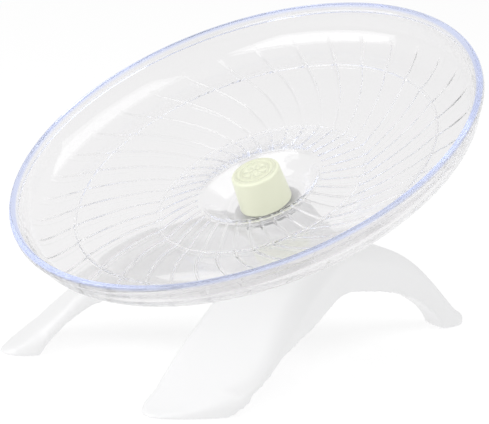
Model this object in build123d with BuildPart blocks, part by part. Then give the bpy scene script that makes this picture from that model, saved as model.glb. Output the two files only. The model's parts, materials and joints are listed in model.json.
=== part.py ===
# Exercise saucer: a clear tilted dish turning on ball bearings on a three-legged stand
# Millimetres, Z up, stand on the floor at Z = 0, low side of the dish toward -Y
import os
from math import cos, radians, sin
from build123d import *

os.makedirs("parts", exist_ok=True)

# Axle tilt and height of the well floor where the axle meets the dish
tilt = 26.9
lean = radians(tilt)
well_floor_height = 58.6

# Dish, depths below the rim plane; wall points and the outer ring are set in from the rim
dish_radius = 90.0
dish_depth = 27.0
dish_wall = 2.4
lip_height = 3.8
lip_width = 2.9
lip_round = 1.4
well_floor_radius = 14.6
well_top_radius = 22.2
well_top_depth = 18.8
ring_inner_radius = 39.5
ring_inner_depth = 21.3
ring_outer_inset = 21.2
ring_outer_depth = 14.2
ring_half_width = 0.55
ring_crown_share = 0.4
ring_height = 0.5
wall_inside = [(14.0, 13.1), (9.4, 11.6), (6.1, 8.9), (4.0, 5.2), (2.7, 1.4)]
wall_outside = [(12.8, 15.5), (7.7, 13.7), (4.0, 10.3), (2.1, 6.2), (1.3, 2.6)]
well_foot_step = 1.05
well_shoulder_step = 0.9
well_shoulder_drop = 2.6

# Spiral ribs on the dish floor, radius and sweep angle along the course
rib_count = 36
rib_height = 0.6
rib_sink = 0.5
rib_half_width = 0.5
rib_course = [
    (23.6, 0.0),
    (32.0, 2.4),
    (40.0, 5.6),
    (54.0, 14.0),
    (69.0, 23.0),
    (77.0, 26.6),
    (82.6, 29.0),
]

# Ball bearings, two alike
bearing_bore = 5.0
bearing_outer = 13.0
bearing_width = 4.0
race_thickness = 1.2
ball_radius = 0.98
ball_groove_gap = 0.03
ball_count = 7
cage_half_wall = 0.4
cage_half_height = 1.35
cage_pocket_gap = 0.05
quarter_turn = 90.0
shield_thickness = 0.25
shield_gap = 0.12
shield_inset = 0.15

# Bearing tower of the dish, heights along the axle from the well floor
tower_radius = 8.0
tower_top = 10.2
lower_bearing_base = -1.3
shoulder_width = 1.5
shoulder_radius = 5.6
keeper_thickness = 0.8
keeper_inner_radius = 5.5

# Axle and its fixings
head_width = 8.0
hexagon_sides = 6
head_height = 3.5
washer_radius = 5.2
washer_thickness = 1.0
nut_width = 8.0
top_washer_thickness = 0.5
lock_nut_height = 2.6
axle_tip_length = 0.3
sleeve_radius = 3.6

# Cap
cap_foot_radius = 9.8
cap_top_radius = 9.1
cap_height = 13.6
cap_top_wall = 1.3
cap_edge_round = 0.9
cap_bore_gap = 0.08
cap_emboss = 0.35
cap_rings = [(7.2, 7.9), (4.9, 5.4)]
cap_dot_radius = 0.9
cap_petal_count = 6
cap_petal_radius = 3.0
cap_petal_length = 1.9
cap_petal_width = 0.8

# Stand boss around the axle
boss_gap = 1.1
boss_radius = 13.3
boss_flare_radius = 20.0
boss_length = 23.0
boss_plate = 3.0
boss_tube_radius = 5.8
boss_tube_length = 18.0
boss_bore_gap = 0.1

# Stand, a vaulted shell cut to three arms; heights against distance from the dome centre
dome_shift = -2.1
stand_wall = 2.4
sole_thickness = 3.0
half_turn = 180.0
crown = [(0.0, 48.4), (12.0, 48.0), (22.0, 46.6), (32.0, 43.8), (44.0, 38.9)]
crown_end_fall = 0.5
front_dome = [
    (44.0, 38.9),
    (50.0, 35.3),
    (56.0, 30.8),
    (63.0, 24.4),
    (70.0, 17.0),
    (77.0, 9.6),
    (84.0, 4.0),
]
front_reach = 99.0
front_heel = 83.5
front_vault = [(80.0, 5.2), (75.0, 9.4), (69.0, 13.4), (61.0, 17.6), (53.0, 20.6)]
rear_dome = [
    (44.0, 38.9),
    (51.0, 36.9),
    (58.0, 34.7),
    (66.0, 31.4),
    (74.0, 26.4),
    (82.0, 19.6),
    (90.0, 11.6),
    (96.0, 6.0),
]
rear_reach = 104.5
rear_heel = 87.5
rear_vault = [(85.0, 4.2), (81.0, 8.0), (75.5, 11.8), (69.0, 15.0), (61.0, 18.0), (53.0, 20.6)]
toe_edge = 1.5
vault_join = (44.0, 22.6)
vault_rise = (-1.0, 0.15)
vault_crown = 30.0
toe_fall = (1.0, -0.15)
heel_rise = (-0.6, 1.0)
plan_half = [
    (0.0, -14.0),
    (8.0, -15.5),
    (14.8, -20.5),
    (20.5, -29.5),
    (25.2, -41.0),
    (28.8, -53.0),
    (31.8, -65.0),
    (34.4, -75.0),
    (37.6, -81.3),
    (42.5, -83.8),
    (47.4, -81.6),
    (51.8, -75.6),
    (55.6, -68.0),
    (58.3, -59.5),
    (59.4, -50.5),
    (57.8, -40.4),
    (52.8, -28.0),
    (46.4, -15.2),
    (39.6, -3.4),
    (32.2, 8.0),
    (24.4, 19.4),
    (17.6, 31.6),
    (12.2, 45.4),
    (8.6, 61.0),
    (6.2, 77.0),
    (5.4, 88.0),
    (5.2, 92.0),
    (4.2, 95.4),
    (2.4, 97.4),
    (0.0, 98.0),
]
tip_turn_share = 0.3
section_margin = 5.0

# Heights along the axle, measured from the well floor
underside = -dish_wall
lower_bearing_top = lower_bearing_base + bearing_width
upper_bearing_base = lower_bearing_top + shoulder_width
upper_bearing_top = upper_bearing_base + bearing_width
boss_top = underside - boss_gap
boss_bottom = boss_top - boss_length
tube_bottom = boss_top - boss_tube_length
head_bottom = tube_bottom - washer_thickness - head_height
lock_nut_base = upper_bearing_top + top_washer_thickness
axle_tip = lock_nut_base + lock_nut_height + axle_tip_length

# Radii shared by the bearings and their seats
axle_radius = bearing_bore / 2
race_bore = bearing_outer / 2
ball_pitch_radius = (axle_radius + race_bore) / 2
inner_land = axle_radius + race_thickness
outer_land = race_bore - race_thickness
groove_radius = ball_radius + ball_groove_gap
pocket_radius = ball_radius + cage_pocket_gap
pocket_length = cage_half_wall * 4

# The axle foot is set so that the whole wheel is centred front to back
lip_corner_radius = dish_radius - lip_round
lip_corner_height = dish_depth - lip_round
rim_front_reach = lip_corner_radius * cos(lean) + lip_corner_height * sin(lean) + lip_round
hub_y = (rim_front_reach - plan_half[-1][1]) / 2
dome_y = hub_y + dome_shift
axle_foot = (0, hub_y, well_floor_height)
axle_way = (0, -sin(lean), cos(lean))
axle_plane = Plane(origin=axle_foot, x_dir=(1, 0, 0), z_dir=axle_way)
axle_section = Plane(origin=axle_foot, x_dir=(1, 0, 0), z_dir=(0, -cos(lean), -sin(lean)))
axle_line = Axis(axle_foot, axle_way)
floor_plane = Plane(origin=(0, hub_y, 0), x_dir=(1, 0, 0), z_dir=(0, 0, 1))
arm_section = Plane(origin=(0, dome_y, 0), x_dir=(1, 0, 0), z_dir=(0, -1, 0))
upright = Axis((0, dome_y, 0), (0, 0, 1))
upright_down = Axis((0, dome_y, 0), (0, 0, -1))


def raised(points, rise):
    # Depths below the rim plane turned into heights above the well floor
    return [(radius, dish_depth - depth + rise) for radius, depth in points]


def from_rim(points):
    # Distances in from the rim turned into radii
    return [(dish_radius - inset, depth) for inset, depth in points]


def beside(points, shift):
    # Points moved square to their course, to its left for a positive shift
    moved = []
    for index, point in enumerate(points):
        before = points[max(index - 1, 0)]
        after = points[min(index + 1, len(points) - 1)]
        along = Vector(after[0] - before[0], after[1] - before[1]).normalized()
        moved.append((point[0] - along.Y * shift, point[1] + along.X * shift))
    return moved


def swept(course, side):
    # Rib edge as points in the dish plan, half a rib width to one side of its course
    edge = []
    for radius, sweep in course:
        edge.append((radius * cos(radians(sweep)), radius * sin(radians(sweep))))
    return beside(edge, side * rib_half_width)


# Dish outline as radii and depths, inside and outside
ring_outer_radius = dish_radius - ring_outer_inset
inner_wall = from_rim(wall_inside)
outer_wall = from_rim(wall_outside)
well_outside = [
    (well_floor_radius + well_foot_step, dish_depth + dish_wall),
    (well_top_radius + well_shoulder_step, well_top_depth + well_shoulder_drop),
]
floor_course = [
    (well_top_radius, well_top_depth),
    (ring_inner_radius, ring_inner_depth),
    (ring_outer_radius, ring_outer_depth),
]

# One rib seen along the axle
with BuildSketch() as rib_strip:
    with BuildLine():
        rib_left = Spline(*swept(rib_course, 1))
        rib_right = Spline(*swept(rib_course, -1))
        Line(rib_left @ 0, rib_right @ 0)
        Line(rib_left @ 1, rib_right @ 1)
    make_face()

# Ribs, kept to a thin layer that follows the dish floor
with BuildPart() as ribs:
    with BuildSketch(axle_plane):
        with PolarLocations(0, rib_count):
            add(rib_strip.sketch)
    extrude(amount=dish_depth)
    with BuildSketch(axle_section):
        with BuildLine():
            Polyline(*raised(floor_course, -rib_sink))
            Spline(*raised(floor_course[-1:] + inner_wall[:-1], -rib_sink))
            Line(raised(inner_wall[:-1], -rib_sink)[-1], raised(inner_wall[:-1], rib_height)[-1])
            Spline(*raised(floor_course[-1:] + inner_wall[:-1], rib_height))
            Polyline(*raised(floor_course, rib_height))
            Line(raised(floor_course, -rib_sink)[0], raised(floor_course, rib_height)[0])
        make_face()
    revolve(axis=axle_line, mode=Mode.INTERSECT)

# Dish with its rim lip, two ring lines, hub well and bearing tower
with BuildPart() as saucer_dish:
    with BuildSketch(axle_section):
        with BuildLine():
            Polyline(
                (race_bore, underside),
                *raised(well_outside, 0),
                *raised(floor_course[1:], -dish_wall),
            )
            outside = Spline(*raised(floor_course[-1:], -dish_wall), *raised(outer_wall, 0))
            inside = Spline(*raised(floor_course[-1:] + inner_wall, 0))
            Line(outside @ 1, inside @ 1)
            Polyline(
                *raised(floor_course[::-1], 0),
                (well_floor_radius, 0),
                (tower_radius, 0),
                (tower_radius, tower_top),
                (race_bore, tower_top),
                (race_bore, upper_bearing_base),
                (shoulder_radius, upper_bearing_base),
                (shoulder_radius, lower_bearing_top),
                (race_bore, lower_bearing_top),
                (race_bore, underside),
            )
        make_face()
        with Locations((dish_radius - lip_width / 2, dish_depth - lip_height / 2)):
            RectangleRounded(lip_width, lip_height, lip_round)
    revolve(axis=axle_line)
    with BuildSketch(axle_section):
        for radius, depth in floor_course[1:]:
            with BuildLine():
                Polyline(
                    (radius - ring_half_width, dish_depth - depth - rib_sink),
                    (radius + ring_half_width, dish_depth - depth - rib_sink),
                    (radius + ring_half_width * ring_crown_share, dish_depth - depth + ring_height),
                    (radius - ring_half_width * ring_crown_share, dish_depth - depth + ring_height),
                    close=True,
                )
            make_face()
    revolve(axis=axle_line)
    add(ribs.part)
saucer_dish.part.label = "saucer_dish"
export_step(saucer_dish.part, "parts/saucer_dish.step")

# Outer race of the lower bearing
with BuildPart() as outer_race_lower:
    with BuildSketch(axle_plane.offset(lower_bearing_base)):
        Circle(race_bore)
        Circle(outer_land, mode=Mode.SUBTRACT)
    extrude(amount=bearing_width)
    with BuildSketch(axle_section):
        with Locations((ball_pitch_radius, lower_bearing_base + bearing_width / 2)):
            Circle(groove_radius)
    revolve(axis=axle_line, mode=Mode.SUBTRACT)
outer_race_lower.part.label = "outer_race_lower"
export_step(outer_race_lower.part, "parts/outer_race_lower.step")

# Outer race of the upper bearing
with BuildPart() as outer_race_upper:
    with BuildSketch(axle_plane.offset(upper_bearing_base)):
        Circle(race_bore)
        Circle(outer_land, mode=Mode.SUBTRACT)
    extrude(amount=bearing_width)
    with BuildSketch(axle_section):
        with Locations((ball_pitch_radius, upper_bearing_base + bearing_width / 2)):
            Circle(groove_radius)
    revolve(axis=axle_line, mode=Mode.SUBTRACT)
outer_race_upper.part.label = "outer_race_upper"
export_step(outer_race_upper.part, "parts/outer_race_upper.step")

# Inner race of the lower bearing
with BuildPart() as inner_race_lower:
    with BuildSketch(axle_plane.offset(lower_bearing_base)):
        Circle(inner_land)
        Circle(axle_radius, mode=Mode.SUBTRACT)
    extrude(amount=bearing_width)
    with BuildSketch(axle_section):
        with Locations((ball_pitch_radius, lower_bearing_base + bearing_width / 2)):
            Circle(groove_radius)
    revolve(axis=axle_line, mode=Mode.SUBTRACT)
inner_race_lower.part.label = "inner_race_lower"
export_step(inner_race_lower.part, "parts/inner_race_lower.step")

# Inner race of the upper bearing
with BuildPart() as inner_race_upper:
    with BuildSketch(axle_plane.offset(upper_bearing_base)):
        Circle(inner_land)
        Circle(axle_radius, mode=Mode.SUBTRACT)
    extrude(amount=bearing_width)
    with BuildSketch(axle_section):
        with Locations((ball_pitch_radius, upper_bearing_base + bearing_width / 2)):
            Circle(groove_radius)
    revolve(axis=axle_line, mode=Mode.SUBTRACT)
inner_race_upper.part.label = "inner_race_upper"
export_step(inner_race_upper.part, "parts/inner_race_upper.step")

# Balls of the lower bearing
with BuildPart() as balls_lower:
    with Locations(axle_plane.offset(lower_bearing_base + bearing_width / 2)):
        with PolarLocations(ball_pitch_radius, ball_count):
            Sphere(ball_radius)
balls_lower.part.label = "balls_lower"
export_step(balls_lower.part, "parts/balls_lower.step")

# Balls of the upper bearing
with BuildPart() as balls_upper:
    with Locations(axle_plane.offset(upper_bearing_base + bearing_width / 2)):
        with PolarLocations(ball_pitch_radius, ball_count):
            Sphere(ball_radius)
balls_upper.part.label = "balls_upper"
export_step(balls_upper.part, "parts/balls_upper.step")

# Ball cage of the lower bearing
with BuildPart() as cage_lower:
    with BuildSketch(axle_plane.offset(lower_bearing_base + bearing_width / 2 - cage_half_height)):
        Circle(ball_pitch_radius + cage_half_wall)
        Circle(ball_pitch_radius - cage_half_wall, mode=Mode.SUBTRACT)
    extrude(amount=cage_half_height * 2)
    with Locations(axle_plane.offset(lower_bearing_base + bearing_width / 2)):
        with PolarLocations(ball_pitch_radius, ball_count):
            Cylinder(pocket_radius, pocket_length, rotation=(0, quarter_turn, 0), mode=Mode.SUBTRACT)
cage_lower.part.label = "cage_lower"
export_step(cage_lower.part, "parts/cage_lower.step")

# Ball cage of the upper bearing
with BuildPart() as cage_upper:
    with BuildSketch(axle_plane.offset(upper_bearing_base + bearing_width / 2 - cage_half_height)):
        Circle(ball_pitch_radius + cage_half_wall)
        Circle(ball_pitch_radius - cage_half_wall, mode=Mode.SUBTRACT)
    extrude(amount=cage_half_height * 2)
    with Locations(axle_plane.offset(upper_bearing_base + bearing_width / 2)):
        with PolarLocations(ball_pitch_radius, ball_count):
            Cylinder(pocket_radius, pocket_length, rotation=(0, quarter_turn, 0), mode=Mode.SUBTRACT)
cage_upper.part.label = "cage_upper"
export_step(cage_upper.part, "parts/cage_upper.step")

# Shields on both faces of the lower bearing, alike
lower_shield_base = lower_bearing_base + shield_inset
lower_shield_top = lower_bearing_top - shield_inset - shield_thickness
with BuildPart() as shields_lower:
    with BuildSketch(axle_plane.offset(lower_shield_base), axle_plane.offset(lower_shield_top)):
        Circle(outer_land)
        Circle(inner_land + shield_gap, mode=Mode.SUBTRACT)
    extrude(amount=shield_thickness)
shields_lower.part.label = "shields_lower"
export_step(shields_lower.part, "parts/shields_lower.step")

# Shields on both faces of the upper bearing, alike
upper_shield_base = upper_bearing_base + shield_inset
upper_shield_top = upper_bearing_top - shield_inset - shield_thickness
with BuildPart() as shields_upper:
    with BuildSketch(axle_plane.offset(upper_shield_base), axle_plane.offset(upper_shield_top)):
        Circle(outer_land)
        Circle(inner_land + shield_gap, mode=Mode.SUBTRACT)
    extrude(amount=shield_thickness)
shields_upper.part.label = "shields_upper"
export_step(shields_upper.part, "parts/shields_upper.step")

# Keeper rings pressed into the tower, one under and one over the bearings
lower_keeper_base = lower_bearing_base - keeper_thickness
with BuildPart() as keeper_rings:
    with BuildSketch(axle_plane.offset(lower_keeper_base), axle_plane.offset(upper_bearing_top)):
        Circle(race_bore)
        Circle(keeper_inner_radius, mode=Mode.SUBTRACT)
    extrude(amount=keeper_thickness)
keeper_rings.part.label = "keeper_rings"
export_step(keeper_rings.part, "parts/keeper_rings.step")

# Sleeve between the inner races
with BuildPart() as spacer_sleeve:
    with BuildSketch(axle_plane.offset(lower_bearing_top)):
        Circle(sleeve_radius)
        Circle(axle_radius, mode=Mode.SUBTRACT)
    extrude(amount=shoulder_width)
spacer_sleeve.part.label = "spacer_sleeve"
export_step(spacer_sleeve.part, "parts/spacer_sleeve.step")

# Axle bolt with its hexagon head under the stand boss
with BuildPart() as axle_bolt:
    with BuildSketch(axle_plane.offset(head_bottom)):
        RegularPolygon(head_width / 2, hexagon_sides, major_radius=False)
    extrude(amount=head_height)
    with BuildSketch(axle_plane.offset(head_bottom)):
        Circle(axle_radius)
    extrude(amount=axle_tip - head_bottom)
axle_bolt.part.label = "axle_bolt"
export_step(axle_bolt.part, "parts/axle_bolt.step")

# Washer between the bolt head and the boss tube
with BuildPart() as bolt_washer:
    with BuildSketch(axle_plane.offset(tube_bottom - washer_thickness)):
        Circle(washer_radius)
        Circle(axle_radius, mode=Mode.SUBTRACT)
    extrude(amount=washer_thickness)
bolt_washer.part.label = "bolt_washer"
export_step(bolt_washer.part, "parts/bolt_washer.step")

# Thin nut that clamps the axle to the boss and carries the lower bearing
with BuildPart() as clamp_nut:
    with BuildSketch(axle_plane.offset(boss_top)):
        RegularPolygon(nut_width / 2, hexagon_sides, major_radius=False)
        Circle(axle_radius, mode=Mode.SUBTRACT)
    extrude(amount=lower_bearing_base - boss_top)
clamp_nut.part.label = "clamp_nut"
export_step(clamp_nut.part, "parts/clamp_nut.step")

# Washer over the upper bearing
with BuildPart() as top_washer:
    with BuildSketch(axle_plane.offset(upper_bearing_top)):
        Circle(sleeve_radius)
        Circle(axle_radius, mode=Mode.SUBTRACT)
    extrude(amount=top_washer_thickness)
top_washer.part.label = "top_washer"
export_step(top_washer.part, "parts/top_washer.step")

# Lock nut at the top of the axle
with BuildPart() as lock_nut:
    with BuildSketch(axle_plane.offset(lock_nut_base)):
        RegularPolygon(nut_width / 2, hexagon_sides, major_radius=False)
        Circle(axle_radius, mode=Mode.SUBTRACT)
    extrude(amount=lock_nut_height)
lock_nut.part.label = "lock_nut"
export_step(lock_nut.part, "parts/lock_nut.step")

# Cap over the tower, its top marked with plain rings and six small petals
cap_face = cap_height - cap_emboss
with BuildPart() as hub_cap:
    with BuildSketch(axle_section):
        with BuildLine():
            Polyline(
                (0, cap_face),
                (cap_top_radius, cap_face),
                (cap_foot_radius, 0),
                (tower_radius + cap_bore_gap, 0),
                (tower_radius + cap_bore_gap, cap_face - cap_top_wall),
                (0, cap_face - cap_top_wall),
                close=True,
            )
        make_face()
    revolve(axis=axle_line)
    fillet(hub_cap.edges().filter_by(GeomType.CIRCLE).sort_by(axle_line)[-1], cap_edge_round)
    with BuildSketch(axle_plane.offset(cap_face - cap_emboss)):
        for inner, outer in cap_rings:
            Circle(outer)
            Circle(inner, mode=Mode.SUBTRACT)
    extrude(amount=cap_emboss * 2)
    with BuildSketch(axle_plane.offset(cap_face - cap_emboss)):
        Circle(cap_dot_radius)
        with PolarLocations(cap_petal_radius, cap_petal_count):
            SlotOverall(cap_petal_length, cap_petal_width)
    extrude(amount=cap_emboss * 2)
hub_cap.part.label = "hub_cap"
export_step(hub_cap.part, "parts/hub_cap.step")

# Plan of the three arms, and of the hollow under their skin
with BuildSketch(floor_plane) as arm_outline:
    with BuildLine():
        Spline(*plan_half, tangents=[(1, 0), (-1, 0)], tangent_scalars=[1, tip_turn_share])
        mirror(about=Plane.YZ)
    make_face()
hollow_half = beside(plan_half, stand_wall)
hollow_half[0] = (0, plan_half[0][1] + stand_wall)
hollow_half[-1] = (0, plan_half[-1][1] - stand_wall)
with BuildSketch(floor_plane.offset(sole_thickness)) as hollow_outline:
    with BuildLine():
        Spline(*hollow_half, tangents=[(1, 0), (-1, 0)], tangent_scalars=[1, tip_turn_share])
        mirror(about=Plane.YZ)
    make_face()

# Front half of the vaulted shell, the two front arms
crown_fall = (1, -crown_end_fall)
front_skin = front_dome + [(front_reach, toe_edge)]
inner_crown = beside(crown, -stand_wall)
inner_crown[0] = (0, crown[0][1] - stand_wall)
inner_front = [inner_crown[-1]] + beside(front_skin, -stand_wall)[1:]
with BuildPart() as front_hollow:
    with BuildSketch(arm_section):
        with BuildLine():
            Spline(*inner_crown, tangents=[(1, 0), crown_fall])
            Spline(*inner_front, tangents=[crown_fall, toe_fall])
            Polyline(
                inner_front[-1],
                (inner_front[-1][0], -section_margin),
                (0, -section_margin),
                inner_crown[0],
            )
        make_face()
    revolve(axis=upright_down, revolution_arc=half_turn)
    extrude(hollow_outline.sketch, amount=crown[0][1], mode=Mode.INTERSECT)
with BuildPart() as front_arms:
    with BuildSketch(arm_section):
        with BuildLine():
            Spline(*crown, tangents=[(1, 0), crown_fall])
            Spline(*front_skin, tangents=[crown_fall, toe_fall])
            Polyline((front_reach, toe_edge), (front_reach, 0), (front_heel, 0))
            Spline((front_heel, 0), *front_vault, vault_join, tangents=[heel_rise, vault_rise])
            Spline(vault_join, (crown[1][0], vault_crown), tangents=[vault_rise, (-1, 0)])
            Polyline((crown[1][0], vault_crown), (0, vault_crown), crown[0])
        make_face()
    revolve(axis=upright_down, revolution_arc=half_turn)
    extrude(arm_outline.sketch, amount=crown[0][1] + section_margin, mode=Mode.INTERSECT)
    add(front_hollow.part, mode=Mode.SUBTRACT)

# Rear half of the vaulted shell, the single rear arm
rear_skin = rear_dome + [(rear_reach, toe_edge)]
inner_rear = [inner_crown[-1]] + beside(rear_skin, -stand_wall)[1:]
with BuildPart() as rear_hollow:
    with BuildSketch(arm_section):
        with BuildLine():
            Spline(*inner_crown, tangents=[(1, 0), crown_fall])
            Spline(*inner_rear, tangents=[crown_fall, toe_fall])
            Polyline(
                inner_rear[-1],
                (inner_rear[-1][0], -section_margin),
                (0, -section_margin),
                inner_crown[0],
            )
        make_face()
    revolve(axis=upright, revolution_arc=half_turn)
    extrude(hollow_outline.sketch, amount=crown[0][1], mode=Mode.INTERSECT)
with BuildPart() as rear_arm:
    with BuildSketch(arm_section):
        with BuildLine():
            Spline(*crown, tangents=[(1, 0), crown_fall])
            Spline(*rear_skin, tangents=[crown_fall, toe_fall])
            Polyline((rear_reach, toe_edge), (rear_reach, 0), (rear_heel, 0))
            Spline((rear_heel, 0), *rear_vault, vault_join, tangents=[heel_rise, vault_rise])
            Spline(vault_join, (crown[1][0], vault_crown), tangents=[vault_rise, (-1, 0)])
            Polyline((crown[1][0], vault_crown), (0, vault_crown), crown[0])
        make_face()
    revolve(axis=upright, revolution_arc=half_turn)
    extrude(arm_outline.sketch, amount=crown[0][1] + section_margin, mode=Mode.INTERSECT)
    add(rear_hollow.part, mode=Mode.SUBTRACT)

# Stand: both halves of the shell joined, with the boss for the axle
with BuildPart() as stand:
    add(front_arms.part)
    add(rear_arm.part)
    with BuildSketch(axle_section):
        with BuildLine():
            Polyline(
                (0, boss_top),
                (boss_radius, boss_top),
                (boss_flare_radius, boss_bottom),
                (0, boss_bottom),
                close=True,
            )
        make_face()
    revolve(axis=axle_line)
    with BuildSketch(axle_section):
        with BuildLine():
            Polyline(
                (boss_tube_radius, boss_top - boss_plate),
                (boss_radius - stand_wall, boss_top - boss_plate),
                (boss_flare_radius - stand_wall, boss_bottom),
                (0, boss_bottom),
                (0, tube_bottom),
                (boss_tube_radius, tube_bottom),
                close=True,
            )
        make_face()
    revolve(axis=axle_line, mode=Mode.SUBTRACT)
    with BuildSketch(axle_plane.offset(tube_bottom)):
        Circle(axle_radius + boss_bore_gap)
    extrude(amount=boss_tube_length, mode=Mode.SUBTRACT)
stand.part.label = "stand"
export_step(stand.part, "parts/stand.step")
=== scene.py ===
import json
from math import atan2, cos, pi, radians, sin, sqrt

import bmesh
import bpy
from mathutils import Matrix, Vector
from mathutils.kdtree import KDTree


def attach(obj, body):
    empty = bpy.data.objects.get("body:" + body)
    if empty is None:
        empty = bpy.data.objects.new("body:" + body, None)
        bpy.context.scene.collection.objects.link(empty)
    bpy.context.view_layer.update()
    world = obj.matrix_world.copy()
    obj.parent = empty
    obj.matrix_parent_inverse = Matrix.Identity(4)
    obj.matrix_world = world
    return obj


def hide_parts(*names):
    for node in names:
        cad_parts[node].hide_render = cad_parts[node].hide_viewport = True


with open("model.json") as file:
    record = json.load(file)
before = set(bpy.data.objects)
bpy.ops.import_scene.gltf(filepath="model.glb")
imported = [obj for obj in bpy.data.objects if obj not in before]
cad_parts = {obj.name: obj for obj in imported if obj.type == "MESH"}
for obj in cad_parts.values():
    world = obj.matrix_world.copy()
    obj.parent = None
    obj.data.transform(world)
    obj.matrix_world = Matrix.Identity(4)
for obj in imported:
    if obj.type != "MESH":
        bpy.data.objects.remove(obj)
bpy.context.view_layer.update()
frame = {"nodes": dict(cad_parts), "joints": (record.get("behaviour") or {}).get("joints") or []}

mm = 0.001
nodes = frame["nodes"]

# the axle's own frame: origin at its foot, Z along it
spinJoint = next(j for j in frame["joints"] if j["name"] == "saucer_spin")
axleFoot = Vector(spinJoint["pos_m"])
axleWay = Vector(spinJoint["axis"])
axleLean = atan2(-axleWay.y, axleWay.z)
axleFrame = Matrix.Translation(axleFoot) @ Matrix.Rotation(axleLean, 4, "X")


def between(table, x):
    # straight-line look-up in a list of (x, y) pairs
    if x <= table[0][0]:
        return table[0][1]
    for (x0, y0), (x1, y1) in zip(table, table[1:]):
        if x <= x1:
            return y0 + (y1 - y0) * (x - x0) / (x1 - x0)
    return table[-1][1]


def flowing(points, steps):
    # Catmull-Rom course through the points, ends included
    course = []
    ends = [points[0]] + list(points) + [points[-1]]
    for i in range(1, len(ends) - 2):
        p0, p1, p2, p3 = (Vector(ends[i + k]) for k in (-1, 0, 1, 2))
        for s in range(steps):
            t = s / steps
            course.append(0.5 * (2 * p1 + (p2 - p0) * t + (2 * p0 - 5 * p1 + 4 * p2 - p3) * t * t
                                 + (3 * p1 - p0 - 3 * p2 + p3) * t ** 3))
    course.append(Vector(points[-1]))
    return course


def divided(start, end, parts):
    # points that divide a straight stretch evenly, ends left out
    return [Vector(start).lerp(Vector(end), i / parts) for i in range(1, parts)]


def meshPiece(name, bm, body, material, stands=(), sharpAngle=None):
    # bmesh to a finished object that rides on a body and may stand for CAD nodes
    mesh = bpy.data.meshes.new(name)
    bm.to_mesh(mesh)
    bm.free()
    mesh.shade_smooth()
    if sharpAngle is not None:
        mesh.set_sharp_from_angle(angle=radians(sharpAngle))
    piece = bpy.data.objects.new(name, mesh)
    bpy.context.scene.collection.objects.link(piece)
    mesh.materials.append(material)
    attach(piece, body)
    if stands:
        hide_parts(*stands)
    return piece


def mergedCopy(node, distance=0.00001):
    # a CAD node's mesh with its loose triangles joined
    bm = bmesh.new()
    bm.from_mesh(nodes[node].data)
    bmesh.ops.remove_doubles(bm, verts=bm.verts, dist=distance)
    return bm


def addNode(tree, kind, operation=None, values=None):
    # one shader node, its constants set by the socket's name or place
    made = tree.nodes.new("ShaderNode" + kind)
    if operation:
        made.operation = operation
    for socket, value in (values or {}).items():
        made.inputs[socket].default_value = value
    return made


def newGroup(name, inputs):
    # a node group that gives a finish its colour, roughness and height
    group = bpy.data.node_groups.new(name, "ShaderNodeTree")
    for label, kind, value in inputs:
        socket = group.interface.new_socket(label, in_out="INPUT", socket_type="NodeSocket" + kind)
        socket.default_value = value
    for label, kind in (("Colour", "Color"), ("Roughness", "Float"), ("Height", "Float")):
        group.interface.new_socket(label, in_out="OUTPUT", socket_type="NodeSocket" + kind)
    return group, group.nodes.new("NodeGroupInput"), group.nodes.new("NodeGroupOutput")


# grain of the shared groups: noise scales and details, and how far they move the tone
skinGrain = {"drift": 0.08, "cloudScale": 28.0, "cloudDetail": 3.0, "peelScale": 400.0, "peelDetail": 2.0,
             "toneShare": 0.35}
metalGrain = {"streakScale": 900.0, "streakDetail": 4.0, "stretch": (1.0, 1.0, 6.0), "dulling": 0.22,
              "toneSpread": 0.16, "toneBase": 0.92}


def mouldedSkinGroup():
    # moulded plastic: soft drift of tone and roughness, and a faint orange-peel height
    g = skinGrain
    group, given, out = newGroup("mouldedSkin", [
        ("Colour", "Color", (0.8, 0.8, 0.8, 1)), ("Roughness", "Float", 0.35),
        ("Drift", "Float", g["drift"]), ("Peel", "Float", g["peelScale"])])
    link = group.links.new
    coords = addNode(group, "TexCoord")
    cloud = addNode(group, "TexNoise", values={"Scale": g["cloudScale"], "Detail": g["cloudDetail"]})
    peel = addNode(group, "TexNoise", values={"Detail": g["peelDetail"]})
    centred = addNode(group, "Math", "SUBTRACT", {1: 0.5})
    drift = addNode(group, "Math", "MULTIPLY")
    rough = addNode(group, "Math", "ADD")
    rough.use_clamp = True
    tone = addNode(group, "Math", "MULTIPLY_ADD", {1: g["toneShare"], 2: 1.0})
    tint = addNode(group, "VectorMath", "SCALE")
    link(coords.outputs["Object"], cloud.inputs["Vector"])
    link(coords.outputs["Object"], peel.inputs["Vector"])
    link(given.outputs["Peel"], peel.inputs["Scale"])
    link(cloud.outputs["Fac"], centred.inputs[0])
    link(centred.outputs[0], drift.inputs[0])
    link(given.outputs["Drift"], drift.inputs[1])
    link(given.outputs["Roughness"], rough.inputs[0])
    link(drift.outputs[0], rough.inputs[1])
    link(drift.outputs[0], tone.inputs[0])
    link(given.outputs["Colour"], tint.inputs[0])
    link(tone.outputs[0], tint.inputs["Scale"])
    link(tint.outputs[0], out.inputs["Colour"])
    link(rough.outputs[0], out.inputs["Roughness"])
    link(peel.outputs["Fac"], out.inputs["Height"])
    return group


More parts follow.
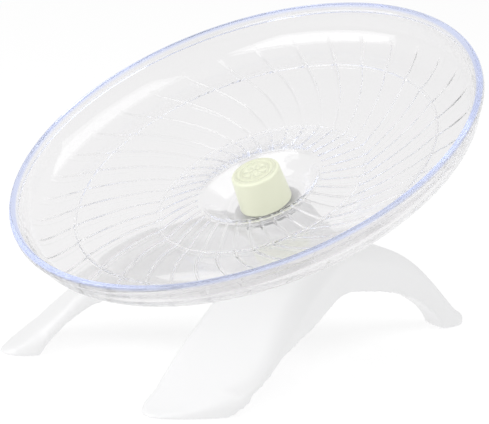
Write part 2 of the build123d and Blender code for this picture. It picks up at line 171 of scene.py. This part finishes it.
def brushedMetalGroup():
    # small metal parts: fine turned streaks with a little dulling
    g = metalGrain
    group, given, out = newGroup("brushedMetal", [
        ("Colour", "Color", (0.7, 0.7, 0.7, 1)), ("Roughness", "Float", 0.3),
        ("Streaks", "Float", g["streakScale"])])
    link = group.links.new
    coords = addNode(group, "TexCoord")
    stretch = addNode(group, "Mapping", values={"Scale": g["stretch"]})
    streak = addNode(group, "TexNoise", values={"Detail": g["streakDetail"]})
    rough = addNode(group, "Math", "MULTIPLY_ADD", {1: g["dulling"]})
    shade = addNode(group, "Math", "MULTIPLY_ADD", {1: g["toneSpread"], 2: g["toneBase"]})
    tint = addNode(group, "VectorMath", "SCALE")
    link(coords.outputs["Object"], stretch.inputs["Vector"])
    link(stretch.outputs["Vector"], streak.inputs["Vector"])
    link(given.outputs["Streaks"], streak.inputs["Scale"])
    link(streak.outputs["Fac"], rough.inputs[0])
    link(given.outputs["Roughness"], rough.inputs[2])
    link(streak.outputs["Fac"], shade.inputs[0])
    link(given.outputs["Colour"], tint.inputs[0])
    link(shade.outputs[0], tint.inputs["Scale"])
    link(tint.outputs[0], out.inputs["Colour"])
    link(rough.outputs[0], out.inputs["Roughness"])
    link(streak.outputs["Fac"], out.inputs["Height"])
    return group


mouldedSkin = mouldedSkinGroup()
brushedMetal = brushedMetalGroup()

finishes = {
    "standWhite": {"metal": False, "colour": (0.88, 0.88, 0.885, 1), "roughness": 0.36, "bump": 0.12},
    "capGreen": {"metal": False, "colour": (0.86, 0.88, 0.70, 1), "roughness": 0.30, "bump": 0.12},
    "steelBright": {"metal": True, "colour": (0.66, 0.67, 0.69, 1), "roughness": 0.22, "bump": 0.2},
    "steelGround": {"metal": True, "colour": (0.55, 0.56, 0.59, 1), "roughness": 0.16, "bump": 0.1},
    "steelBall": {"metal": True, "colour": (0.78, 0.79, 0.81, 1), "roughness": 0.05, "bump": 0.02},
    "brassCage": {"metal": True, "colour": (0.70, 0.52, 0.24, 1), "roughness": 0.25, "bump": 0.2},
}
plasticSheen = 0.45
grainDepth = 0.00005  # metres that a full bump stands for


def finish(name):
    # a material: a shared group for the surface, the Principled shader for the gloss
    given = finishes[name]
    material = bpy.data.materials.new(name)
    material.use_nodes = True
    tree = material.node_tree
    shader = tree.nodes["Principled BSDF"]
    skin = tree.nodes.new("ShaderNodeGroup")
    skin.node_tree = brushedMetal if given["metal"] else mouldedSkin
    skin.inputs["Colour"].default_value = given["colour"]
    skin.inputs["Roughness"].default_value = given["roughness"]
    if given["metal"]:
        shader.inputs["Metallic"].default_value = 1.0
    else:
        skin.inputs["Drift"].default_value = skinGrain["drift"]
        shader.inputs["Specular IOR Level"].default_value = plasticSheen
    grain = addNode(tree, "Bump", values={"Strength": given["bump"], "Distance": grainDepth})
    tree.links.new(skin.outputs["Colour"], shader.inputs["Base Color"])
    tree.links.new(skin.outputs["Roughness"], shader.inputs["Roughness"])
    tree.links.new(skin.outputs["Height"], grain.inputs["Height"])
    tree.links.new(grain.outputs["Normal"], shader.inputs["Normal"])
    return material


# clear plastic; the blue of the rim lies beyond a distance from the axle and above a height, in metres
# the rim's blue is partly the plastic's own edge tint and partly a painted reflection of dim blue
# surroundings
clearLook = {
    "clear": (0.87, 0.865, 0.87, 1), "rim": (0.50, 0.58, 0.94, 1), "shade": (0.95, 0.95, 0.95, 1),
    "rimFrom": 0.0868, "rimTo": 0.0876, "topFrom": 0.0255, "topTo": 0.0264,
    "ior": 1.49, "roughFrom": 0.03, "roughTo": 0.08, "scuffScale": 60.0,
}


def clearDishMaterial():
    look = clearLook
    material = bpy.data.materials.new("dishClear")
    material.use_nodes = True
    tree = material.node_tree
    link = tree.links.new
    shader = tree.nodes["Principled BSDF"]
    shader.inputs["Transmission Weight"].default_value = 1.0
    shader.inputs["IOR"].default_value = look["ior"]

    # mask of the rim's blue, partly the plastic's own edge tint and partly painted reflection, from the place
    # seen along the axle
    coords = addNode(tree, "TexCoord")
    shift = addNode(tree, "VectorMath", "SUBTRACT", {1: axleFoot})
    aside = addNode(tree, "VectorMath", "CROSS_PRODUCT", {1: axleWay})
    reach = addNode(tree, "VectorMath", "LENGTH")
    outward = addNode(tree, "MapRange", values={"From Min": look["rimFrom"], "From Max": look["rimTo"]})
    height = addNode(tree, "VectorMath", "DOT_PRODUCT", {1: axleWay})
    upward = addNode(tree, "MapRange", values={"From Min": look["topFrom"], "From Max": look["topTo"]})
    mask = addNode(tree, "Math", "MULTIPLY")
    mix = addNode(tree, "Mix")
    mix.data_type = "RGBA"
    mix.inputs["A"].default_value = look["clear"]
    mix.inputs["B"].default_value = look["rim"]
    link(coords.outputs["Object"], shift.inputs[0])
    link(shift.outputs[0], aside.inputs[0])
    link(aside.outputs[0], reach.inputs[0])
    link(reach.outputs["Value"], outward.inputs["Value"])
    link(shift.outputs[0], height.inputs[0])
    link(height.outputs["Value"], upward.inputs["Value"])
    link(outward.outputs[0], mask.inputs[0])
    link(upward.outputs[0], mask.inputs[1])
    link(mask.outputs[0], mix.inputs["Factor"])
    link(mix.outputs["Result"], shader.inputs["Base Color"])

    # roughness drifts a little, as on a handled surface
    scuff = addNode(tree, "TexNoise", values={"Scale": look["scuffScale"]})
    haze = addNode(tree, "MapRange", values={"To Min": look["roughFrom"], "To Max": look["roughTo"]})
    link(coords.outputs["Object"], scuff.inputs["Vector"])
    link(scuff.outputs["Fac"], haze.inputs["Value"])
    link(haze.outputs[0], shader.inputs["Roughness"])

    # lamps and soft light reach the stand through the dish
    lets = addNode(tree, "BsdfTransparent", values={"Color": look["shade"]})
    ray = addNode(tree, "LightPath")
    unseen = addNode(tree, "Math", "MAXIMUM")
    blend = addNode(tree, "MixShader")
    link(ray.outputs["Is Shadow Ray"], unseen.inputs[0])
    link(ray.outputs["Is Diffuse Ray"], unseen.inputs[1])
    link(unseen.outputs[0], blend.inputs["Fac"])
    link(shader.outputs[0], blend.inputs[1])
    link(lets.outputs[0], blend.inputs[2])
    link(blend.outputs[0], tree.nodes["Material Output"].inputs["Surface"])
    return material


materials = {name: finish(name) for name in finishes}
materials["dishClear"] = clearDishMaterial()
print("materials made,", len(materials))


# clear dish in mm: sections are (distance from the axle, height over the well's floor)
dishForm = {
    "lipCentre": (88.55, 25.1), "lipHalf": (1.45, 1.9), "lipCorner": 1.4, "lipSteps": 6,
    "wallInside": [(76.0, 13.9), (80.6, 15.4), (83.9, 18.1), (86.0, 21.8), (87.0, 24.6)],
    "wallOutside": [(77.2, 11.5), (82.3, 13.3), (86.0, 16.7), (87.9, 20.8), (88.7, 23.0)],
    "wallFoot": (72.0, 13.2), "wallInsideSteps": 7, "wallOutsideSteps": 6,
    "ringOuter": (68.8, 12.8), "ringInner": (39.5, 5.7), "ringHalfWidth": 0.6, "ringHeight": 0.5,
    "ringSection": [(1.6, 0), (1.05, 0), (0.55, 0.75), (0, 1), (-0.55, 0.75), (-1.05, 0), (-1.6, 0)],
    "ringSlope": 0.02, "outerFloorParts": 5, "innerFloorParts": 4,
    "underInnerEnd": (39.5, 3.3), "underStep": [(38.0, 3.5), (39.5, 3.35), (41.5, 3.75)], "underStepSteps": 4,
    "underWallFoot": [(67.0, 10.0), (70.0, 10.55)],
    "wellInside": [(25.0, 7.8), (23.4, 7.75), (22.0, 7.2), (20.6, 5.9), (18.2, 3.3), (16.4, 1.5),
                   (14.6, 0.4), (12.6, 0.0)],
    "wellOutside": [(14.0, -2.4), (15.2, -2.2), (16.6, -1.2), (22.0, 4.5), (23.6, 5.55), (25.2, 5.5)],
    "wellSteps": 5,
    "tower": [(10.5, 0), (8.6, 0), (8.0, 0.5), (8.0, 5.0), (8.0, 9.9), (7.7, 10.2), (6.5, 10.2)],
    "towerBore": [(6.5, 4.2), (5.6, 4.2), (5.6, 2.7), (6.5, 2.7), (6.5, -2.4), (8.0, -2.4), (12.0, -2.4)],
    "weld": 0.0005, "sharpAngle": 50,
}

# spiral ribs in mm; the columns of faces between two ribs are shares of a rib's half width and of the pitch
ribForm = {
    "count": 36, "halfWidth": 0.6, "height": 0.32, "columns": 8, "widestPart": 5,
    "crestShare": 0.45, "flankShare": 1.7, "midShares": (0.36, 0.64),
    "from": 23.6, "to": 83.0, "runIn": 1.2, "runOut": 3.0, "faceFrom": 22.2, "faceGrip": 0.35,
    "sweep": [(23.6, 0.0), (32.0, 2.4), (40.0, 5.6), (54.0, 14.0), (69.0, 23.0), (77.0, 26.6), (82.6, 29.0)],
}


def ringLine(centre):
    # a low raised line round the floor, outer side first
    radius, height = centre
    w, h, slope = dishForm["ringHalfWidth"], dishForm["ringHeight"], dishForm["ringSlope"]
    return [Vector((radius + off * w, height + rise * h + off * w * slope))
            for off, rise in dishForm["ringSection"]]


def dishInside():
    # inner face from the rim down to the tower
    d = dishForm
    course = flowing(d["wallInside"][::-1] + [d["wallFoot"]], d["wallInsideSteps"])
    course += ringLine(d["ringOuter"]) + divided(d["ringOuter"], d["ringInner"], d["outerFloorParts"])
    course += ringLine(d["ringInner"]) + divided(d["ringInner"], d["wellInside"][0], d["innerFloorParts"])
    course += flowing(d["wellInside"], d["wellSteps"])
    return course + [Vector(p) for p in d["tower"]]


def dishOutside():
    # bore of the tower, then the under face out to the rim
    d = dishForm
    course = [Vector(p) for p in d["towerBore"]] + flowing(d["wellOutside"], d["wellSteps"])
    course += divided(d["wellOutside"][-1], d["underInnerEnd"], d["innerFloorParts"])
    course += flowing(d["underStep"], d["underStepSteps"])
    course += divided(d["underStep"][-1], d["underWallFoot"][0], d["outerFloorParts"])
    return course + flowing(d["underWallFoot"] + d["wallOutside"], d["wallOutsideSteps"])


def lipRound():
    # bead of the rim, outer side first
    (cx, cz), (hx, hz), corner = dishForm["lipCentre"], dishForm["lipHalf"], dishForm["lipCorner"]
    bead = []
    for sx, sz, start in ((1, -1, -90), (1, 1, 0), (-1, 1, 90)):
        for k in range(dishForm["lipSteps"] + 1):
            a = radians(start + 90 / dishForm["lipSteps"] * k)
            bead.append(Vector((cx + sx * (hx - corner) + corner * cos(a),
                                cz + sz * (hz - corner) + corner * sin(a))))
    return bead


def columnAngle(column, radius):
    # turn of a column of corners from the middle of its rib
    r = ribForm
    pitch = 2 * pi / r["count"]
    half = min(r["halfWidth"] / radius, pitch / r["widestPart"])
    crest, flank = r["crestShare"] * half, r["flankShare"] * half
    near, far = (pitch * share for share in r["midShares"])
    return (-crest, crest, half, flank, near, far, pitch - flank, pitch - half)[column]


def buildDish():
    # the section is spun round the axle, then its columns are swept into spiral ribs
    r = ribForm
    profile = dishOutside() + lipRound() + dishInside()
    bm = bmesh.new()
    corners = [bm.verts.new((p.x, 0, p.y)) for p in profile]
    edges = [bm.edges.new(pair) for pair in zip(corners, corners[1:] + corners[:1])]
    steps = r["count"] * r["columns"]
    step, pitch = 2 * pi / steps, 2 * pi / r["count"]
    bmesh.ops.spin(bm, geom=corners + edges, cent=(0, 0, 0), axis=(0, 0, 1), angle=2 * pi, steps=steps,
                   use_merge=True, use_duplicate=False)
    bmesh.ops.remove_doubles(bm, verts=bm.verts, dist=dishForm["weld"])
    bmesh.ops.recalc_face_normals(bm, faces=bm.faces)
    inside = sorted((p.x, p.y) for p in dishInside() if p.x >= r["faceFrom"])
    for v in bm.verts:
        radius = sqrt(v.co.x ** 2 + v.co.y ** 2)
        rib, column = divmod(round(atan2(v.co.y, v.co.x) / step) % steps, r["columns"])
        angle = rib * pitch + columnAngle(column, radius) + radians(between(r["sweep"], radius))
        rise = 0.0
        onFace = abs(v.co.z - between(inside, radius)) < r["faceGrip"]
        if column in (0, 1) and r["from"] < radius < r["to"] and onFace:
            share = min((radius - r["from"]) / r["runIn"], (r["to"] - radius) / r["runOut"], 1.0)
            rise = r["height"] * sin(share * pi / 2)
        v.co = Vector((radius * cos(angle), radius * sin(angle), v.co.z + rise))
    bmesh.ops.transform(bm, matrix=axleFrame @ Matrix.Scale(mm, 4), verts=bm.verts)
    return meshPiece("dish_clear_shell", bm, "saucer", materials["dishClear"], ("saucer_dish",),
                     dishForm["sharpAngle"])


dish = buildDish()
print("dish made,", len(dish.data.polygons), "faces")


# white stand in mm: the curves from crown to rearVault are (distance from the dome's middle, height),
# and the edges are the arms' half plan as (x, y) from the axle's foot
standForm = {
    "domeShift": -2.1, "curveSteps": 6,
    "crown": [(0, 48.4), (12, 48), (22, 46.6), (32, 43.8), (44, 38.9)],
    "front": [(50, 35.3), (56, 30.8), (63, 24.4), (70, 17), (77, 9.6), (84, 4), (99, 1.5)],
    "rear": [(51, 36.9), (58, 34.7), (66, 31.4), (74, 26.4), (82, 19.6), (90, 11.6), (96, 6), (104.5, 1.5)],
    "frontSkin": [(50, 35.3), (56, 30.8), (63, 24.4), (70, 17.3), (77, 10.8), (84, 5.4), (91, 1.8),
                  (99, 1.2)],
    "vault": [(0, 30), (12, 30), (28, 27.8), (44, 22.6)],
    "frontHeel": [(53, 20.6), (61, 17.2), (68, 12.4), (72.6, 8.2), (75.8, 4.4), (77.8, 1.4), (78.6, 0)],
    "rearVault": [(53, 20.6), (61, 18), (69, 15), (75.5, 11.8), (81, 8), (85, 4.2), (87.5, 0)],
    "innerEdge": [(0, -14), (8, -15.5), (14.8, -20.5), (20.5, -29.5), (25.2, -41), (28.8, -53), (31.8, -65),
                  (34.4, -75), (37.6, -81.3)],
    "toeEnd": [(42.5, -83.8)],
    "outerEdge": [(47.4, -81.6), (51.8, -75.6), (55.6, -68), (58.3, -59.5), (59.4, -50.5), (57.8, -40.4),
                  (52.8, -28), (46.4, -15.2)],
    "rearEdge": [(39.6, -3.4), (32.2, 8), (24.4, 19.4), (17.6, 31.6), (12.2, 45.4), (8.6, 61), (6.2, 77),
                 (5.4, 88), (5.2, 92), (4.2, 95.4), (2.4, 97.4), (0, 98)],
    "outlineSteps": 24,
}

# plates that fill out the arms from below: where they start and end along y, and their thickness
soleForm = {
    "front": (-83.2, -33.0), "frontInset": 0.12, "rear": (54.0, 91.0), "rearInset": 0.96, "rearLift": 0.3,
    "thick": 5.0, "mostShare": 0.76, "least": 0.3, "grid": (12, 40),
}

# rounding of the arms' upper edges on an even grid: reach of each surface's pull and size of the bend
edgeForm = {
    "voxel": 0.00088, "quickCoarser": 1.6, "grip": 0.85, "sideGripShare": 1.5, "footReach": 3.0,
    "bend": 6.8, "lowShare": 0.6, "narrowFrom": 31.6, "narrowShare": 0.8, "leastBend": 0.05,
    "leastDepth": 0.1, "bossClear": (19.0, 23.0), "smoothPasses": 3, "smoothShare": 0.5,
    "lowEdgeReach": 2.4, "lowEdgeRise": 2.4, "lowEdgeFrom": 58.0, "lowEdgePasses": 8,
}


def standCurve(*names):
    # one smooth curve through the named stretches of the stand's form
    points = [p for name in names for p in standForm[name]]
    return flowing(points, standForm["curveSteps"])


def addSole(bm, low, high, leftEdge, rightEdge, underside, skin):
    # a curved plate under an arm, between two edge lines, over an underside curve and below the skin
    s = soleForm
    columns, rows = s["grid"]
    made = bmesh.ops.create_grid(bm, x_segments=columns, y_segments=rows, size=0.5)["verts"]
    for v in made:
        y = low + (high - low) * (v.co.y + 0.5)
        x = leftEdge(y) + (rightEdge(y) - leftEdge(y)) * (v.co.x + 0.5)
        z = between(underside, sqrt(x * x + (y - standForm["domeShift"]) ** 2))
        v.co = Vector((x * mm, y * mm + axleFoot.y, z * mm))
    faces = list(dict.fromkeys(face for v in made for face in v.link_faces))
    grown = bmesh.ops.extrude_face_region(bm, geom=faces, use_keep_orig=True)["geom"]
    for v in (g for g in grown if isinstance(g, bmesh.types.BMVert)):
        radius = sqrt(v.co.x ** 2 + (v.co.y - axleFoot.y - standForm["domeShift"] * mm) ** 2) / mm
        depth = between(skin, radius) - between(underside, radius)
        v.co.z += max(min(s["thick"], s["mostShare"] * depth), s["least"]) * mm
    bmesh.ops.recalc_face_normals(bm, faces=faces + [g for g in grown if isinstance(g, bmesh.types.BMFace)])


def fillSoles(bm):
    # fuller soles under the rear arm and the two front arms
    s = soleForm
    width = sorted((y, x) for x, y in standForm["rearEdge"])
    underRear = [(r, z + s["rearLift"]) for r, z in standCurve("vault", "rearVault")]
    addSole(bm, *s["rear"], lambda y: s["rearInset"] - between(width, y),
            lambda y: between(width, y) - s["rearInset"], underRear, standCurve("crown", "rear"))
    inner = sorted((y, x) for x, y in standForm["innerEdge"] + standForm["toeEnd"])
    outer = sorted((y, x) for x, y in standForm["toeEnd"] + standForm["outerEdge"])
    for side in (1, -1):
        addSole(bm, *s["front"], lambda y: side * (between(inner, y) + s["frontInset"]),
                lambda y: side * (between(outer, y) - s["frontInset"]),
                standCurve("vault", "frontHeel"), standCurve("crown", "front"))


def remeshed(bm, voxel):
    # an even grid of small faces over a closed mesh
    rough = bpy.data.meshes.new("standRough")
    bm.to_mesh(rough)
    bm.free()
    carrier = bpy.data.objects.new("standRough", rough)
    bpy.context.scene.collection.objects.link(carrier)
    grid = carrier.modifiers.new("grid", "REMESH")
    grid.mode = "VOXEL"
    grid.voxel_size = voxel
    even = bpy.data.meshes.new_from_object(carrier.evaluated_get(bpy.context.evaluated_depsgraph_get()))
    bpy.data.objects.remove(carrier)
    bm = bmesh.new()
    bm.from_mesh(even)
    return bm


def standOutline():
    # the half plan as a smooth line, with a tree to find its nearest point
    s = standForm
    outline = flowing(s["innerEdge"] + s["toeEnd"] + s["outerEdge"] + s["rearEdge"], s["outlineSteps"])
    tree = KDTree(len(outline))
    for i, p in enumerate(outline):
        tree.insert((p.x, p.y, 0), i)
    tree.balance()
    return outline, tree


def nearestSide(outline, tree, x, y):
    # distance to the outline, its closest point and the way inward
    here = Vector((x, y))
    nearest = tree.find((x, y, 0))[1]
    side = None
    for i in (nearest - 1, nearest):
        if 0 <= i < len(outline) - 1:
            along = outline[i + 1] - outline[i]
            share = min(max((here - outline[i]).dot(along) / along.length_squared, 0), 1)
            point = outline[i] + along * share
            away = (here - point).length
            if side is None or away < side[0]:
                side = (away, point, Vector((-along.y, along.x)).normalized())
    return side


def clearOfBoss(place):
    # 0 at the boss round the axle, 1 away from it
    near, far = edgeForm["bossClear"]
    fromAxle = ((place - axleFoot) - axleWay * (place - axleFoot).dot(axleWay)).length / mm
    return min(max((fromAxle - near) / (far - near), 0), 1)


def roundStandEdges(bm):
    # the grid is drawn to the stand's true surfaces and its upper edges are rounded
    e = edgeForm
    grip = e["grip"]
    outline, tree = standOutline()
    tops = standCurve("crown", "front"), standCurve("crown", "rear")
    skins = standCurve("crown", "frontSkin"), standCurve("crown", "rear")
    feet = standCurve("vault", "frontHeel"), standCurve("vault", "rearVault")
    vaultEnd = standForm["vault"][-1][0]
    lowEdge = []
    for v in bm.verts:
        x, y, z = abs(v.co.x) / mm, (v.co.y - axleFoot.y) / mm, v.co.z / mm
        half = y >= standForm["domeShift"]
        radius = sqrt(x * x + (y - standForm["domeShift"]) ** 2)
        top, skin, foot = (between(curves[half], radius) for curves in (tops, skins, feet))
        away, point, inward = nearestSide(outline, tree, x, y)
        if away < e["lowEdgeReach"] and -grip < z - foot < e["lowEdgeRise"] and radius > e["lowEdgeFrom"]:
            lowEdge.append(v)

        # which surfaces the corner belongs to
        onTop = abs(z - top) < grip and abs(z - top) <= abs(z - foot)
        onFoot = not onTop and abs(z - foot) < grip and away < e["footReach"] and radius > vaultEnd
        onSide = away < (grip * e["sideGripShare"] if z < foot + grip else grip) and z < top + grip
        clear = clearOfBoss(v.co)
        if not (onSide or onTop or onFoot) or clear == 0:
            continue
        rise = 0.0 if onFoot else min(max((z - foot) / max(top - foot, e["leastDepth"]), 0), 1)
        if onSide or onFoot:
            z = foot + rise * (skin - foot)
        elif onTop:
            z = skin

        # the bend's upper half comes from the top, its lower half from the side
        bend = min(e["bend"], e["lowShare"] * (skin - foot)) * clear
        if y > e["narrowFrom"]:
            bend = min(bend, e["narrowShare"] * point.x)
        bend = max(bend, e["leastBend"])
        turn = None
        if onTop and away < bend:
            turn = pi / 4 * (1 + (0 if onSide else away) / bend)
        elif onSide and skin - z < bend:
            turn = pi / 4 * (1 - max(skin - z, 0) / bend)
        if turn is not None:
            z = skin - bend + bend * sin(turn)
            point = point + inward * bend * (1 - cos(turn))
            x, y = max(point.x, 0.0), point.y
        elif onSide:
            x, y = point.x, point.y
        v.co = Vector((x * (1 if v.co.x >= 0 else -1) * mm, y * mm + axleFoot.y, z * mm))
    for verts, passes in ((bm.verts, e["smoothPasses"]), (lowEdge, e["lowEdgePasses"])):
        for _ in range(passes):
            bmesh.ops.smooth_vert(bm, verts=verts, factor=e["smoothShare"],
                                  use_axis_x=True, use_axis_y=True, use_axis_z=True)
    for v in bm.verts:
        v.co.z = max(v.co.z, 0.0)


def buildStand():
    bm = mergedCopy("stand")
    fillSoles(bm)
    bm = remeshed(bm, edgeForm["voxel"] * (1))
    roundStandEdges(bm)
    return meshPiece("stand_shell", bm, "base", materials["standWhite"], ("stand",), None)


stand = buildStand()
print("stand made,", len(stand.data.polygons), "faces")


capForm = {"sharpAngle": 32}
capSkin = mergedCopy("hub_cap")
meshPiece("cap_body", capSkin, "cap", materials["capGreen"], ("hub_cap",), capForm["sharpAngle"])
print("cap made")


# which finish each carried-over CAD node takes
nodeFinishes = {
    "steelBright": ("axle_bolt", "bolt_washer", "clamp_nut", "top_washer", "lock_nut", "spacer_sleeve",
                    "shields_lower", "shields_upper"),
    "steelGround": ("inner_race_lower", "inner_race_upper", "outer_race_lower", "outer_race_upper"),
    "steelBall": ("balls_lower", "balls_upper"),
    "brassCage": ("cage_lower", "cage_upper"),
    "dishClear": ("keeper_rings",),
}
for finishName, nodeNames in nodeFinishes.items():
    for nodeName in nodeNames:
        nodes[nodeName].data.materials.clear()
        nodes[nodeName].data.materials.append(materials[finishName])
print("metal parts dressed")


# floor and surroundings; lengths in metres
room = {
    "floorSize": 6.0, "floorDrop": 0.0002, "floorColour": (0.35, 0.35, 0.35, 1), "floorRoughness": 0.9,
    "floorGlow": 0.70, "world": 0.58, "mirrored": 0.78,
}


def paleFloorMaterial():
    # a pale floor that glows up to white and keeps a faint shadow
    material = bpy.data.materials.new("paleFloor")
    material.use_nodes = True
    shader = material.node_tree.nodes["Principled BSDF"]
    shader.inputs["Base Color"].default_value = room["floorColour"]
    shader.inputs["Roughness"].default_value = room["floorRoughness"]
    shader.inputs["Specular IOR Level"].default_value = 0.0
    shader.inputs["Emission Color"].default_value = (1, 1, 1, 1)
    shader.inputs["Emission Strength"].default_value = room["floorGlow"]
    return material


def buildFloor():
    bm = bmesh.new()
    bmesh.ops.create_grid(bm, x_segments=1, y_segments=1, size=room["floorSize"] / 2)
    bmesh.ops.translate(bm, vec=(0, 0, -room["floorDrop"]), verts=bm.verts)
    mesh = bpy.data.meshes.new("floor")
    bm.to_mesh(mesh)
    bm.free()
    floor = bpy.data.objects.new("floor", mesh)
    bpy.context.scene.collection.objects.link(floor)
    mesh.materials.append(paleFloorMaterial())


def buildWorld():
    # white to the camera and through the clear dish, a little dimmer as a mirror image and as light
    world = bpy.data.worlds.new("studio")
    bpy.context.scene.world = world
    world.use_nodes = True
    tree = world.node_tree
    link = tree.links.new
    sky = tree.nodes["Background"]
    sky.inputs["Color"].default_value = (1, 1, 1, 1)
    seen = addNode(tree, "LightPath")
    direct = addNode(tree, "Math", "MAXIMUM")
    mirrored = addNode(tree, "Math", "MULTIPLY", {1: room["mirrored"]})
    either = addNode(tree, "Math", "MAXIMUM")
    level = addNode(tree, "Math", "MAXIMUM", {1: room["world"]})
    link(seen.outputs["Is Camera Ray"], direct.inputs[0])
    link(seen.outputs["Is Transmission Ray"], direct.inputs[1])
    link(seen.outputs["Is Glossy Ray"], mirrored.inputs[0])
    link(direct.outputs[0], either.inputs[0])
    link(mirrored.outputs[0], either.inputs[1])
    link(either.outputs[0], level.inputs[0])
    link(level.outputs[0], sky.inputs["Strength"])


# rectangular lamps: compass direction and height in degrees, distance and size in metres
lampAim = (0, 0, 0.07)
softBoxes = {
    "sideBox": {"azimuth": 18, "height": 62, "distance": 1.0, "size": (1.1, 0.8), "power": 3.9},
    "frontBox": {"azimuth": -102, "height": 32, "distance": 1.0, "size": (1.1, 0.6), "power": 4.2},
}


def buildSoftBox(name):
    given = softBoxes[name]
    turn, lift = radians(given["azimuth"]), radians(given["height"])
    way = Vector((cos(turn) * cos(lift), sin(turn) * cos(lift), sin(lift)))
    lamp = bpy.data.lights.new(name, "AREA")
    lamp.shape = "RECTANGLE"
    lamp.size, lamp.size_y = given["size"]
    lamp.energy = given["power"]
    box = bpy.data.objects.new(name, lamp)
    bpy.context.scene.collection.objects.link(box)
    box.location = Vector(lampAim) + way * given["distance"]
    box.rotation_euler = way.to_track_quat("Z", "Y").to_euler()


buildFloor()
buildWorld()
for boxName in softBoxes:
    buildSoftBox(boxName)
print("floor, world and lights made")


# angles in degrees, places in mm from the floor under the axle's foot, focal length in pixels
cameraView = {
    "azimuth": 51.037, "elevation": 14.828, "roll": 3.603, "distance": 2000.0, "side": -4.227, "up": 52.466,
    "focal": 5450.3, "frameWidth": 489.0, "sensorWidth": 36.0, "clipEnd": 20.0,
}


def buildCamera():
    c = cameraView
    az, el, roll = (radians(c[k]) for k in ("azimuth", "elevation", "roll"))
    back = Vector((sin(az) * cos(el), -cos(az) * cos(el), sin(el)))
    level = Vector((cos(az), sin(az), 0))
    upright = back.cross(level)
    right = level * cos(roll) + upright * sin(roll)
    up = upright * cos(roll) - level * sin(roll)
    data = bpy.data.cameras.new("camera")
    data.sensor_width = c["sensorWidth"]
    data.lens = c["focal"] / c["frameWidth"] * c["sensorWidth"]
    data.clip_end = c["clipEnd"]
    camera = bpy.data.objects.new("camera", data)
    bpy.context.scene.collection.objects.link(camera)
    turn = Matrix((right, up, back)).transposed().to_4x4()
    foot = Vector((0, axleFoot.y, 0))
    place = foot + (right * c["side"] + up * c["up"] + back * c["distance"]) * mm
    camera.matrix_world = Matrix.Translation(place) @ turn
    bpy.context.scene.camera = camera


buildCamera()
bpy.context.scene.view_settings.view_transform = "Standard"

# long light paths keep the clear rim and ribs from going black
lightBounces = 36
cycles = bpy.context.scene.cycles
cycles.max_bounces = lightBounces
cycles.transmission_bounces = lightBounces
cycles.glossy_bounces = lightBounces
print("camera and light paths set")
